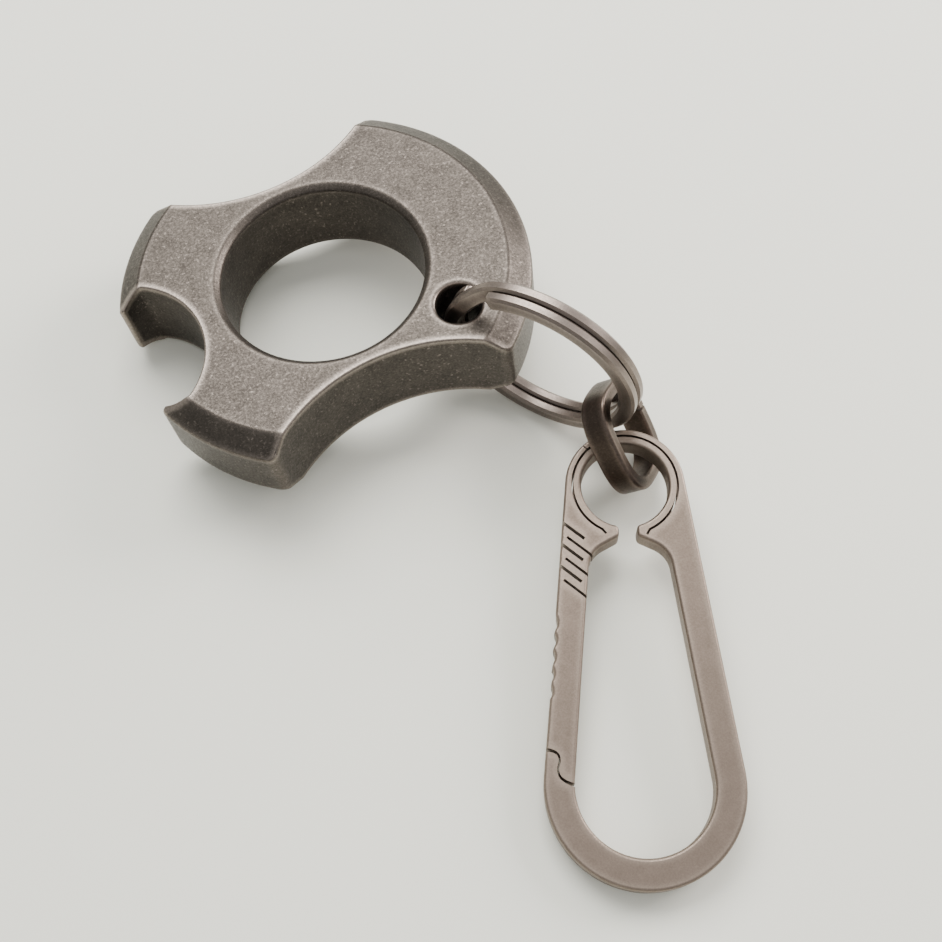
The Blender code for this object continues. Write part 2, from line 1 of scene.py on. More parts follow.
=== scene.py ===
"""Looks for the keychain bottle opener: fine metal pieces, their finishes, floor, lights and camera.

Lengths are metres in the frame's own axes, +Z up. Each fine piece is built where its CAD node lies.
"""

import json
import math

import bmesh
import bpy
from mathutils import Matrix, Vector

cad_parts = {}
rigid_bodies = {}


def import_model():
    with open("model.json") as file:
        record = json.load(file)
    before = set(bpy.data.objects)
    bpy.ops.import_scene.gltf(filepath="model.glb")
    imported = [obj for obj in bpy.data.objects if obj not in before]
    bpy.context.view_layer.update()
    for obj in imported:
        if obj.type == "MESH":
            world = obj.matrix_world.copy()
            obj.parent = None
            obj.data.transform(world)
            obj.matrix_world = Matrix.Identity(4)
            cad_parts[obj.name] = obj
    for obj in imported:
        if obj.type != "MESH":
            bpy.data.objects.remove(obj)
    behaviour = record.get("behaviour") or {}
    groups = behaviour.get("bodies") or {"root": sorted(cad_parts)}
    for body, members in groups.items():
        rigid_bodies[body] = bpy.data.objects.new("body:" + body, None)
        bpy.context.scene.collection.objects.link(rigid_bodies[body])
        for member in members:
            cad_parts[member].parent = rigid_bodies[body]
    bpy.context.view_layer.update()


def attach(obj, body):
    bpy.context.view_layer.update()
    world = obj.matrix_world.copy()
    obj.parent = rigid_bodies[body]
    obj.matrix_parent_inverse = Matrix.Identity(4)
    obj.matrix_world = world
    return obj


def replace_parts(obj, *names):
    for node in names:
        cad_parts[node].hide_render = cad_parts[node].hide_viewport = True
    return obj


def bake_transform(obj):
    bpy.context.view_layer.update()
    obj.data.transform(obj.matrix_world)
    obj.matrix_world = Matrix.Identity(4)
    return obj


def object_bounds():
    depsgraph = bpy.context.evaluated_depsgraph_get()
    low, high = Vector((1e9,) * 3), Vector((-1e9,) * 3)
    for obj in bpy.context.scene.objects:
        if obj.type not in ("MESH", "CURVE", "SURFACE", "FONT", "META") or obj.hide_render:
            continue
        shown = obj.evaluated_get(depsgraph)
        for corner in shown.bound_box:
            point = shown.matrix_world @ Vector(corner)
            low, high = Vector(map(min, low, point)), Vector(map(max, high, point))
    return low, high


MM = 0.001

# Opener: u runs from the notch to the back lobe, v across it, z = 0 is the underside.
# Each *_NEAR point tells which of two crossings a blend circle takes.
OPENER_T = 10.3 * MM
FINGER_R = 11.25 * MM
FINGER_CHAMFER = 0.65 * MM
OUTER_R = 22.9 * MM
BEVEL_IN = 2.5 * MM
BEVEL_DROP = 1.8 * MM
SCALLOP_R = 20.0 * MM
SCALLOP_V = 33.3 * MM
LOBE_CORNER_R = 1.1 * MM
NOTCH_R = 9.45 * MM
NOTCH_U = -23.9 * MM
NOTCH_CORNER_R = 0.7 * MM
TIP_R = 0.4 * MM
HOOK_POINTS = ((-18.6, 7.75), (-20.35, 7.3), (-21.9, 6.1))
LOBE_NEAR = (13.5 * MM, 18.5 * MM)
PRONG_NEAR = (-13.5 * MM, 18.5 * MM)
TIP_NEAR = (-22.0 * MM, 6.5 * MM)
CORNER_NEAR = (-18.6 * MM, 7.5 * MM)
RING_HOLE_R = 2.5 * MM
RING_HOLE_CHAMFER = 0.25 * MM
RING_HOLE_UV = (11.17 * MM, -11.27 * MM)
OPENER_EDGE = 0.25 * MM
OPENER_AT = (-5.336 * MM, 22.957 * MM, 2.754 * MM)
OPENER_TILT = math.radians(7.763)
OPENER_TILT_TOWARDS = math.radians(-22.0)
OPENER_TURN = math.radians(16.86)

# Split ring: two flat turns side by side, one strand crossing over beside the first end.
RING_R_OUT = 11.42 * MM
RING_R_IN = 9.52 * MM
RING_WIDTH = 2.6 * MM
RING_SLIT = 0.14 * MM
RING_END_DEG = 54.0
RING_CROSS_DEG = 36.0
RING_LAST_DEG = 374.0
RING_EDGE = 0.28 * MM
RING_STEP_DEG = 2.0
RING_TIP_ROUND = 0.35 * MM
RING_TIP_ANGLE = 70.0
RING_AT = (15.440 * MM, 9.970 * MM, 11.600 * MM)
RING_AXIS_AZ = math.radians(52.52)
RING_AXIS_EL = math.radians(4.21)

# Oval link: a flat band bent into an oval, with a thin slit across one leg.
LINK_HALF_LONG = 6.08 * MM
LINK_HALF_WIDE = 5.15 * MM
LINK_POWER = 2.87
LINK_WALL = 1.45 * MM
LINK_BAND = 2.9 * MM
LINK_EDGE = 0.3 * MM
LINK_SLIT = 0.28 * MM
LINK_SLIT_AT = -1.5 * MM
LINK_SLIT_LEAN = math.radians(24.0)
LINK_SAW_REACH = 4.0 * MM
LINK_AT = (23.570 * MM, 2.420 * MM, 5.930 * MM)
LINK_YAW = math.radians(27.50)
LINK_PITCH = math.radians(-37.54)
LINK_ROLL = math.radians(36.59)

# Carabiner: the eye centre is the origin, +y runs up through the eye, z = 0 is the top face.
PLATE_T = 3.0 * MM
EYE_R = 4.68 * MM
EYE_OUT_R = 6.4 * MM
BOW_Y = -31.5 * MM
BOW_OUT_R = 10.0 * MM
ARM_W = 3.1 * MM
THROAT_HALF = 0.97 * MM
LIP_Y = -5.75 * MM
LIP_SLOPE = math.radians(-27.0)
SHOULDER_R = 3.0 * MM
SPRING_SLOT_R = 5.61 * MM
SPRING_SLOT_W = 0.26 * MM
SPRING_SLOT_LOW_W = 0.12 * MM
SPRING_SLOT_STEP = -1.4 * MM  # the slot narrows below this height
SPRING_SLOT_DEG = (-66.0, 241.0)
SPRING_HOOK_DEG = (-120.0, -52.0)
SPRING_HOOK_L = 0.65 * MM
STOP_CUT_DEG = 132.5
STOP_CUT_W = 0.14 * MM
SLOT_DIR_DEG = -40.2
SLOT_FIRST = -7.52 * MM
SLOT_PITCH = 0.98 * MM
SLOT_W_OUT = 0.34 * MM
SLOT_W_IN = 0.28 * MM
SLOT_LIGAMENT = 0.75 * MM
GRIP_FIRST_Y = -14.9 * MM
GRIP_PITCH = 1.77 * MM
GRIP_COUNT = 5
GRIP_R = 1.3 * MM
GRIP_DEPTH = 0.26 * MM
PLATE_EDGE = 0.36 * MM
OUTER_SLOTS = (0, 2, 4)
SPLIT_SLOTS = (1, 3, 5)
EYE_SIDES = 120
GRIP_SIDES = 72
EYE_AT = (22.430 * MM, -3.690 * MM, 6.630 * MM)
PLATE_X = (0.98456, -0.14544, 0.09819)
PLATE_N = (-0.10793, -0.06072, 0.99231)

# Latch: the middle line of the S-shaped gap, from the outer edge inwards, in plate millimetres.
LATCH_LINE = (
    (-10.8, -27.7), (-9.4, -27.8), (-8.5, -28.2), (-8.3, -28.9), (-8.5, -29.8),
    (-8.2, -30.6), (-7.2, -31.2), (-6.2, -31.2),
)
LATCH_GAP_MIDDLE = 0.2 * MM
LATCH_GAP_ENDS = 0.52 * MM
LATCH_STEPS = 6
LATCH_INNER_SPARE = 1.7 * MM
GATE_OVERRUN = 3.0 * MM
GATE_REACH = 7.5 * MM
FLEXURE_REACH = 8.0 * MM

ARC_STEP = math.radians(3.0)
SCREW_STEPS = 120
MERGE = 0.00001
SMALLEST_STEP = 0.02 * MM
SHORTEST_EDGE = 0.15 * MM
FLAT_ANGLE = math.radians(0.5)
CUT_SPARE = 1.0 * MM
SAW_TOP = CUT_SPARE
SAW_BOTTOM = -PLATE_T - CUT_SPARE
EDGE_SEGMENTS = 3
EDGE_ANGLE = 30.0
SHARP_DEG = 32.0
OVAL_POINTS = 96

# Finishes. The sizes of clouds, grit, specks and marks are multiples of a finish's grain.
LOOK_ENDING = "_fine"
FINISHES = {
    "stonewashed_titanium": {
        "dark": (0.046, 0.040, 0.035), "light": (0.106, 0.092, 0.080), "worn": (0.42, 0.36, 0.315),
        "roughness": 0.45, "speck": 0.36, "wear": 0.8, "bump": 0.25, "grain": 0.16 * MM,
    },
    "satin_titanium": {
        "dark": (0.14, 0.115, 0.102), "light": (0.20, 0.165, 0.145), "worn": (0.38, 0.32, 0.28),
        "roughness": 0.38, "speck": 0.15, "wear": 0.6, "bump": 0.12, "grain": 0.13 * MM,
    },
    "tumbled_titanium": {
        "dark": (0.044, 0.033, 0.027), "light": (0.078, 0.060, 0.049), "worn": (0.20, 0.155, 0.13),
        "roughness": 0.40, "speck": 0.25, "wear": 0.7, "bump": 0.15, "grain": 0.15 * MM,
    },
    "blasted_titanium": {
        "dark": (0.168, 0.132, 0.108), "light": (0.23, 0.183, 0.151), "worn": (0.39, 0.32, 0.265),
        "roughness": 0.50, "speck": 0.12, "wear": 0.5, "bump": 0.12, "grain": 0.12 * MM,
    },
}
CLOUD_SIZE = 14
GRIT_SIZE = 1.6
SPECK_SIZE = 2.2
CLOUD_SHARE = 0.4
GRIT_SHARE = 0.5
MARK_TURNS_DEG = (25.0, 112.0)
MARK_SIZES = (9, 11)
MARK_STRETCHES = (9.0, 11.0)
MARK_WIDTHS = (0.16, 0.13)
MARK_CORE = 0.3
WORN_REACH = 0.9 * MM
WORN_FULL = 0.70
WORN_NONE = 0.97
WORN_SAMPLES = 8
WORN_EVEN = 0.62
WORN_PATCHY = 0.38
ROUGHNESS_SPREAD = 0.07
DENT_DEPTH = 0.03 * MM
DENT_GRIT = 0.6
DENT_MARKS = 0.4

CAMERA_AT = (-9.11 * MM, -56.27 * MM, 130.59 * MM)
CAMERA_AHEAD = (0.1128, 0.4118, -0.9043)
CAMERA_RIGHT = (0.9854, -0.1632, 0.0486)
CAMERA_LENS = 49.07
CAMERA_SENSOR = 36.0
FLOOR_HALF = 1.5
SKY_LOW = (0.16, 0.165, 0.155)
SKY_HIGH = (0.95, 0.95, 0.94)
SKY_HIGH_AT = 0.8
SKY_STRENGTH = 1.0
FLOOR_COLOUR = (0.87, 0.87, 0.785)
FLOOR_ROUGHNESS = 0.9
FLOOR_SPECULAR = 0.1
CAMERA_CLIP = 0.005
# Lights: name, place, size, power in watts, colour.
LIGHTS = (
    ("key", (-0.06, 0.32, 0.45), (0.40, 0.35), 4.1, (1.0, 0.99, 0.96)),
    ("side", (0.40, 0.16, 0.20), (0.25, 0.25), 2.6, (1.0, 0.95, 0.92)),
)


def arc(centre, radius, start, end):
    """Points along an arc from start to end, both included, on a shared grid of angles."""
    low = min(start, end)
    high = max(start, end)
    first = math.floor(low / ARC_STEP) + 1
    last = math.ceil(high / ARC_STEP)
    turns = [start] + [i * ARC_STEP for i in range(first, last)] + [end]
    turns.sort(reverse=start > end)
    if len(turns) == 2:
        turns.insert(1, (start + end) / 2)
    return [Vector((centre[0] + radius * math.cos(a), centre[1] + radius * math.sin(a))) for a in turns]


def angle_of(point, centre):
    return math.atan2(point[1] - centre[1], point[0] - centre[0])


def short_arc(centre, radius, start_point, end_point):
    """The shorter arc between two points on a circle."""
    start = angle_of(start_point, centre)
    sweep = (angle_of(end_point, centre) - start + math.pi) % math.tau - math.pi
    return arc(centre, radius, start, start + sweep)


def meet(centre_a, reach_a, centre_b, reach_b, near):
    """The crossing of two circles that is nearest to a point."""
    a = Vector(centre_a)
    b = Vector(centre_b)
    gap = (b - a).length
    along = (reach_a ** 2 - reach_b ** 2 + gap ** 2) / (2 * gap)
    across = math.sqrt(reach_a ** 2 - along ** 2)
    direction = (b - a) / gap
    side = Vector((-direction.y, direction.x))
    options = [a + direction * along + side * across, a + direction * along - side * across]
    return min(options, key=lambda p: (p - Vector(near)).length)


def touch(centre, radius, blend_centre):
    """Where a blend circle touches a circle about centre."""
    return Vector(centre) + (Vector(blend_centre) - Vector(centre)).normalized() * radius


def circle_through(points):
    """Centre and radius of the circle through three points."""
    (ax, ay), (bx, by), (cx, cy) = points
    d = 2 * (ax * (by - cy) + bx * (cy - ay) + cx * (ay - by))
    a2 = ax * ax + ay * ay
    b2 = bx * bx + by * by
    c2 = cx * cx + cy * cy
    ux = (a2 * (by - cy) + b2 * (cy - ay) + c2 * (ay - by)) / d
    uy = (a2 * (cx - bx) + b2 * (ax - cx) + c2 * (bx - ax)) / d
    return Vector((ux, uy)), math.hypot(ax - ux, ay - uy)


def tidy_points(points):
    """Drop points that repeat the one before."""
    kept = []
    for point in points:
        if not kept or (Vector(point) - kept[-1]).length > SMALLEST_STEP:
            kept.append(Vector(point))
    if (kept[0] - kept[-1]).length < SMALLEST_STEP:
        kept.pop()
    return kept


def join_mesh(name, mesh, home):
    made = bpy.data.objects.new(name, mesh)
    home.objects.link(made)
    return made


def slab(name, outlines, bottom, top, home):
    """A flat plate from closed outlines; outlines inside the first are holes."""
    curve = bpy.data.curves.new(name + "_outline", "CURVE")
    curve.dimensions = "2D"
    curve.fill_mode = "BOTH"
    curve.extrude = (top - bottom) / 2
    for outline in outlines:
        points = tidy_points(outline)
        spline = curve.splines.new("POLY")
        spline.points.add(len(points) - 1)
        for spot, point in zip(spline.points, points):
            spot.co = (point[0], point[1], 0.0, 1.0)
        spline.use_cyclic_u = True
    return curve_solid(name, curve, Matrix.Translation((0, 0, (top + bottom) / 2)), home)


def curve_solid(name, curve, matrix, home):
    """Turn a curve into a closed mesh and remove the curve."""
    holder = bpy.data.objects.new(name + "_curve", curve)
    home.objects.link(holder)
    holder.matrix_world = matrix
    bpy.context.view_layer.update()
    graph = bpy.context.evaluated_depsgraph_get()
    mesh = bpy.data.meshes.new_from_object(holder.evaluated_get(graph))
    mesh.transform(matrix)
    bpy.data.objects.remove(holder)
    bpy.data.curves.remove(curve)
    weld(mesh)
    mesh.name = name
    return join_mesh(name, mesh, home)


def weld(mesh):
    work = bmesh.new()
    work.from_mesh(mesh)
    bmesh.ops.remove_doubles(work, verts=work.verts, dist=MERGE)
    bmesh.ops.recalc_face_normals(work, faces=work.faces)
    work.to_mesh(mesh)
    work.free()


def turned(name, profile, home):
    """A solid of revolution about z from a closed (radius, z) profile."""
    mesh = bpy.data.meshes.new(name)
    work = bmesh.new()
    spots = [work.verts.new((radius, 0.0, z)) for radius, z in profile]
    for first, second in zip(spots, spots[1:] + spots[:1]):
        work.edges.new((first, second))
    work.to_mesh(mesh)
    work.free()
    made = join_mesh(name, mesh, home)
    screw = made.modifiers.new("Turn", "SCREW")
    screw.steps = SCREW_STEPS
    screw.render_steps = SCREW_STEPS
    screw.use_merge_vertices = True
    screw.merge_threshold = MERGE
    screw.use_normal_calculate = True
    return baked(made)


def pin(name, radius, bottom, top, spot, home, sides):
    """A plain cylinder that stands on the xy plane."""
    mesh = bpy.data.meshes.new(name)
    work = bmesh.new()
    place_at = Matrix.Translation((spot[0], spot[1], (top + bottom) / 2))
    bmesh.ops.create_cone(work, cap_ends=True, segments=sides, radius1=radius, radius2=radius,
                          depth=top - bottom, matrix=place_at)
    work.to_mesh(mesh)
    work.free()
    return join_mesh(name, mesh, home)


def baked(made):
    """Apply every modifier."""
    bpy.context.view_layer.update()
    graph = bpy.context.evaluated_depsgraph_get()
    mesh = bpy.data.meshes.new_from_object(made.evaluated_get(graph))
    old = made.data
    made.modifiers.clear()
    made.data = mesh
    bpy.data.meshes.remove(old)
    weld(mesh)
    return made


def combine(made, other, operation):
    """Cut, join or intersect a piece with another."""
    step = made.modifiers.new(operation.title(), "BOOLEAN")
    step.operation = operation
    step.solver = "EXACT"
    step.object = other
    return baked(made)


def settle(made):
    """Merge the short edges that cuts leave, so that rounded edges run evenly."""
    work = bmesh.new()
    work.from_mesh(made.data)
    bmesh.ops.remove_doubles(work, verts=work.verts, dist=SHORTEST_EDGE)
    bmesh.ops.dissolve_limit(work, angle_limit=FLAT_ANGLE, verts=work.verts, edges=work.edges)
    work.to_mesh(made.data)
    work.free()


def round_edges(made, width, segments, angle=EDGE_ANGLE, clamp=False):
    """Round the edges that are sharper than an angle."""
    step = made.modifiers.new("Edge", "BEVEL")
    step.width = width
    step.segments = segments
    step.limit_method = "ANGLE"
    step.angle_limit = math.radians(angle)
    step.use_clamp_overlap = clamp
    return baked(made)


def finish(made, matrix, look, body=None):
    """Place a piece in the frame, shade it, give it its finish, and ride it on its body."""
    made.data.transform(matrix)
    made.data.materials.clear()
    made.data.materials.append(look)
    for face in made.data.polygons:
        face.use_smooth = True
    made.data.set_sharp_from_angle(angle=math.radians(SHARP_DEG))
    even = made.modifiers.new("Even", "WEIGHTED_NORMAL")
    even.keep_sharp = True
    if body:
        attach(made, body)
    return made


def mirrored(points):
    return [Vector((p.x, -p.y)) for p in reversed(points)]


def opener_outline():
    """Half the plan from the back of the lobe round to the notch, then its mirror."""
    middle = (0.0, 0.0)
    scallop = (0.0, SCALLOP_V)
    notch = (NOTCH_U, 0.0)
    hook, hook_r = circle_through([(u * MM, v * MM) for u, v in HOOK_POINTS])
    lobe = meet(middle, OUTER_R - LOBE_CORNER_R, scallop, SCALLOP_R + LOBE_CORNER_R, LOBE_NEAR)
    prong = meet(middle, OUTER_R - LOBE_CORNER_R, scallop, SCALLOP_R + LOBE_CORNER_R, PRONG_NEAR)
    tip = meet(middle, OUTER_R - TIP_R, hook, hook_r + TIP_R, TIP_NEAR)
    corner = meet(hook, hook_r - NOTCH_CORNER_R, notch, NOTCH_R - NOTCH_CORNER_R, CORNER_NEAR)
    lobe_out = touch(middle, OUTER_R, lobe)
    lobe_in = touch(scallop, SCALLOP_R, lobe)
    prong_in = touch(scallop, SCALLOP_R, prong)
    prong_out = touch(middle, OUTER_R, prong)
    tip_out = touch(middle, OUTER_R, tip)
    tip_in = touch(hook, hook_r, tip)
    corner_out = touch(hook, hook_r, corner)
    corner_in = touch(notch, NOTCH_R, corner)
    half = arc(middle, OUTER_R, 0.0, angle_of(lobe_out, middle))
    half += short_arc(lobe, LOBE_CORNER_R, lobe_out, lobe_in)
    half += short_arc(scallop, SCALLOP_R, lobe_in, prong_in)
    half += short_arc(prong, LOBE_CORNER_R, prong_in, prong_out)
    half += short_arc(middle, OUTER_R, prong_out, tip_out)
    half += short_arc(tip, TIP_R, tip_out, tip_in)
    half += short_arc(hook, hook_r, tip_in, corner_out)
    half += short_arc(corner, NOTCH_CORNER_R, corner_out, corner_in)
    half += short_arc(notch, NOTCH_R, corner_in, (NOTCH_U + NOTCH_R, 0.0))
    return half + mirrored(half)


def opener_matrix():
    """The opener's frame: turned about z, then tilted."""
    towards = Vector((math.cos(OPENER_TILT_TOWARDS), math.sin(OPENER_TILT_TOWARDS), 0.0))
    axis = Vector((towards.y, -towards.x, 0.0))
    tilt = Matrix.Rotation(OPENER_TILT, 4, axis)
    return Matrix.Translation(OPENER_AT) @ tilt @ Matrix.Rotation(OPENER_TURN, 4, "Z")


def build_opener(home, cutters, look):
    """The block: outline times turned form, less the drilled ring hole, with soft edges."""
    reach = CUT_SPARE
    body = slab("opener_block", [opener_outline()], -reach, OPENER_T + reach, home)
    inner = FINGER_R
    slope = BEVEL_DROP / BEVEL_IN
    turned_form = turned("opener_form", [
        (inner + FINGER_CHAMFER, OPENER_T),
        (OUTER_R - BEVEL_IN, OPENER_T),
        (OUTER_R + reach, OPENER_T - BEVEL_DROP - reach * slope),
        (OUTER_R + reach, BEVEL_DROP + reach * slope),
        (OUTER_R - BEVEL_IN, 0.0),
        (inner + FINGER_CHAMFER, 0.0),
        (inner, FINGER_CHAMFER),
        (inner, OPENER_T - FINGER_CHAMFER),
    ], cutters)
    combine(body, turned_form, "INTERSECT")
    hole_r = RING_HOLE_R + RING_HOLE_CHAMFER
    drill = turned("ring_hole_drill", [
        (0.0, OPENER_T + reach),
        (hole_r + reach, OPENER_T + reach),
        (RING_HOLE_R, OPENER_T - RING_HOLE_CHAMFER),
        (RING_HOLE_R, RING_HOLE_CHAMFER),
        (hole_r + reach, -reach),
        (0.0, -reach),
    ], cutters)
    drill.data.transform(Matrix.Translation((*RING_HOLE_UV, 0.0)))
    combine(body, drill, "DIFFERENCE")
    settle(body)
    round_edges(body, OPENER_EDGE, EDGE_SEGMENTS)
    return finish(body, opener_matrix(), look, "opener")


def ring_matrix():
    """The split ring's frame, with its axis on z."""
    axis = Vector((
        math.cos(RING_AXIS_EL) * math.cos(RING_AXIS_AZ),
        math.cos(RING_AXIS_EL) * math.sin(RING_AXIS_AZ),
        math.sin(RING_AXIS_EL),
    ))
    side = Vector((0.0, 0.0, 1.0)).cross(axis).normalized()
    up = axis.cross(side)
    turn = Matrix((side, up, axis)).transposed().to_4x4()
    return Matrix.Translation(RING_AT) @ turn


def ring_offset(turned_deg, lane):
    """Side-to-side place of the strand after it has run through an angle."""
    start = 360.0 - RING_CROSS_DEG
    share = min(1.0, max(0.0, (turned_deg - start) / RING_CROSS_DEG))
    eased = share * share * (3.0 - 2.0 * share)
    return lane * (2.0 * eased - 1.0)


def ring_profile(half_t, half_w):
    """A rectangle with its corners cut off, as a flat curve."""
    cut = RING_EDGE
    corners = [
        (half_t, half_w - cut), (half_t - cut, half_w),
        (cut - half_t, half_w), (-half_t, half_w - cut),
        (-half_t, cut - half_w), (cut - half_t, -half_w),
        (half_t - cut, -half_w), (half_t, cut - half_w),
    ]
    profile = bpy.data.curves.new("ring_profile", "CURVE")
    profile.dimensions = "2D"
    shape = profile.splines.new("POLY")
    shape.points.add(len(corners) - 1)
    for spot, (x, y) in zip(shape.points, corners):
        spot.co = (x, y, 0.0, 1.0)
    shape.use_cyclic_u = True
    return profile


def ring_path(mean_r, lane):
    """The strand's middle line: once round, across at the first end, and once more round."""
    total = 360.0 + RING_LAST_DEG - RING_CROSS_DEG
    path = bpy.data.curves.new("ring_path", "CURVE")
    path.dimensions = "3D"
    path.twist_mode = "Z_UP"
    path.use_fill_caps = True
    line = path.splines.new("POLY")
    count = int(total / RING_STEP_DEG)
    line.points.add(count)
    for i, spot in enumerate(line.points):
        turned_deg = total * i / count
        angle = math.radians(RING_END_DEG + turned_deg)
        height = ring_offset(turned_deg, lane)
        spot.co = (mean_r * math.cos(angle), mean_r * math.sin(angle), height, 1.0)
    return path


def build_ring(home, look):
    """One strand that runs round twice; its profile is a chamfered rectangle."""
    half_w = (RING_WIDTH - RING_SLIT) / 4
    half_t = (RING_R_OUT - RING_R_IN) / 2
    profile = ring_profile(half_t, half_w)
    former = bpy.data.objects.new("ring_profile", profile)
    home.objects.link(former)
    path = ring_path((RING_R_OUT + RING_R_IN) / 2, (RING_WIDTH + RING_SLIT) / 4)
    path.bevel_mode = "OBJECT"
    path.bevel_object = former
    strand = curve_solid("ring_strand", path, Matrix.Identity(4), home)
    bpy.data.objects.remove(former)
    bpy.data.curves.remove(profile)
    round_edges(strand, RING_TIP_ROUND, EDGE_SEGMENTS, RING_TIP_ANGLE, clamp=True)
    return finish(strand, ring_matrix(), look, "ring")


def oval(half_long, half_wide):
    """A superellipse with its long axis on x."""
    points = []
    for i in range(OVAL_POINTS):
        a = math.tau * i / OVAL_POINTS
        x = math.copysign(abs(math.cos(a)) ** (2 / LINK_POWER), math.cos(a)) * half_long
        y = math.copysign(abs(math.sin(a)) ** (2 / LINK_POWER), math.sin(a)) * half_wide
        points.append(Vector((x, y)))
    return points


def link_matrix():
    """The link's frame: x down its long axis, z along its band."""
    down = Vector((
        math.sin(LINK_YAW) * math.cos(LINK_PITCH),
        -math.cos(LINK_YAW) * math.cos(LINK_PITCH),
        math.sin(LINK_PITCH),
    ))
    level = down.cross(Vector((0.0, 0.0, 1.0))).normalized()
    if level.x < 0:
        level = -level
    rise = level.cross(down)
    if rise.z < 0:
        rise = -rise
    across = level * math.cos(LINK_ROLL) - rise * math.sin(LINK_ROLL)
    axis = level * math.sin(LINK_ROLL) + rise * math.cos(LINK_ROLL)
    return Matrix.Translation(LINK_AT) @ Matrix((down, across, axis)).transposed().to_4x4()


def build_link(home, cutters, look):
    """The oval band with rounded edges, then the slanting slit across one leg."""
    half = LINK_BAND / 2
    outlines = [oval(LINK_HALF_LONG, LINK_HALF_WIDE),
                oval(LINK_HALF_LONG - LINK_WALL, LINK_HALF_WIDE - LINK_WALL)]
    band = slab("link_band", outlines, -half, half, home)
    settle(band)
    round_edges(band, LINK_EDGE, EDGE_SEGMENTS)
    reach = LINK_SAW_REACH
    half_slit = LINK_SLIT / 2
    strip = [(-half_slit, -reach), (half_slit, -reach), (half_slit, reach), (-half_slit, reach)]
    blade = slab("link_saw", [strip], -reach, reach, cutters)
    lean = Matrix.Rotation(LINK_SLIT_LEAN, 4, "Y")
    blade.data.transform(Matrix.Translation((LINK_SLIT_AT, LINK_HALF_WIDE, 0.0)) @ lean)
    combine(band, blade, "DIFFERENCE")
    return finish(band, link_matrix(), look, "link")


def plate_matrix():
    """The carabiner's frame, at the centre of its eye."""
    across = Vector(PLATE_X).normalized()
    normal = Vector(PLATE_N).normalized()
    along = normal.cross(across).normalized()
    across = along.cross(normal)
    return Matrix.Translation(EYE_AT) @ Matrix((across, along, normal)).transposed().to_4x4()


def arm_slope():
    return math.asin((BOW_OUT_R - EYE_OUT_R) / -BOW_Y)


def plate_outline():
    """Outside of the carabiner: the eye's rim, two straight arms and the bow."""
    slope = arm_slope()
    bow = (0.0, BOW_Y)
    rim = arc((0.0, 0.0), EYE_OUT_R, slope, math.pi - slope)
    return rim + arc(bow, BOW_OUT_R, math.pi - slope, math.tau + slope)


def shoulder(side):
    """Inner line from the lip to the top of a straight arm, on one side."""
    slope = arm_slope()
    out = Vector((math.cos(slope), math.sin(slope)))
    on_arm = Vector((0.0, BOW_Y)) + out * (BOW_OUT_R - ARM_W)
    lip = Vector((THROAT_HALF, LIP_Y))
    run = Vector((math.cos(LIP_SLOPE), math.sin(LIP_SLOPE)))
    below = Vector((run.y, -run.x))
    # The blend centre lies SHOULDER_R below the lip line and SHOULDER_R inside the arm line.
    base = lip + below * SHOULDER_R
    want = on_arm - out * SHOULDER_R
    reach = (want - base).dot(out) / run.dot(out)
    centre = base + run * reach
    start = centre - below * SHOULDER_R
    end = centre + out * SHOULDER_R
    points = [lip] + short_arc(centre, SHOULDER_R, start, end)
    return [Vector((p.x * side, p.y)) for p in points]


def window_outline():
    """The main opening below the throat."""
    slope = arm_slope()
    right = shoulder(1.0)
    left = shoulder(-1.0)
    bow = arc((0.0, BOW_Y), BOW_OUT_R - ARM_W, slope, -math.pi - slope)
    return right + bow + list(reversed(left))


def slot_frame():
    """Unit vectors along and across the diagonal slots."""
    angle = math.radians(SLOT_DIR_DEG)
    along = Vector((math.cos(angle), math.sin(angle)))
    normal = Vector((-along.y, along.x))
    return along, normal


def arm_edge(level, outer):
    """Where a slot line meets the outer or inner edge of the gate arm."""
    along, normal = slot_frame()
    slope = arm_slope()
    out = Vector((-math.cos(slope), math.sin(slope)))
    reach = BOW_OUT_R if outer else BOW_OUT_R - ARM_W
    base = normal * level
    offset = (Vector((0.0, BOW_Y)) + out * reach - base).dot(out)
    return base + along * (offset / along.dot(out))


def bar(start, end, width):
    """A straight strip from start to end."""
    direction = (Vector(end) - Vector(start)).normalized()
    side = Vector((-direction.y, direction.x)) * (width / 2)
    return [start - side, end - side, end + side, start + side]


def slot_level(index):
    return SLOT_FIRST - SLOT_PITCH * index


def outer_slot(index):
    """A slot that is open at the outer edge."""
    along, _ = slot_frame()
    level = slot_level(index)
    start = arm_edge(level, True) - along * CUT_SPARE
    end = arm_edge(level, False) - along * SLOT_LIGAMENT
    return bar(start, end, SLOT_W_OUT)


def web_end(index):
    """Where an inner slot stops, a ligament short of the outer edge."""
    along, _ = slot_frame()
    return arm_edge(slot_level(index), True) + along * SLOT_LIGAMENT


def inner_slot(index):
    """A slot that is open at the inner edge."""
    along, _ = slot_frame()
    end = arm_edge(slot_level(index), False) + along * (2 * CUT_SPARE)
    return bar(web_end(index), end, SLOT_W_IN)


def web_region(index):
    """The thin outer web that bends beside an inner slot."""
    along, _ = slot_frame()
    start = arm_edge(slot_level(index), True) - along * CUT_SPARE
    return bar(start, web_end(index), SLOT_W_IN)


def spring_slot(width):
    """The thin arc round the eye, as one closed outline."""
    low, high = (math.radians(a) for a in SPRING_SLOT_DEG)
    half = width / 2
    outside = arc((0.0, 0.0), SPRING_SLOT_R + half, low, high)
    inside = arc((0.0, 0.0), SPRING_SLOT_R - half, high, low)
    return outside + inside


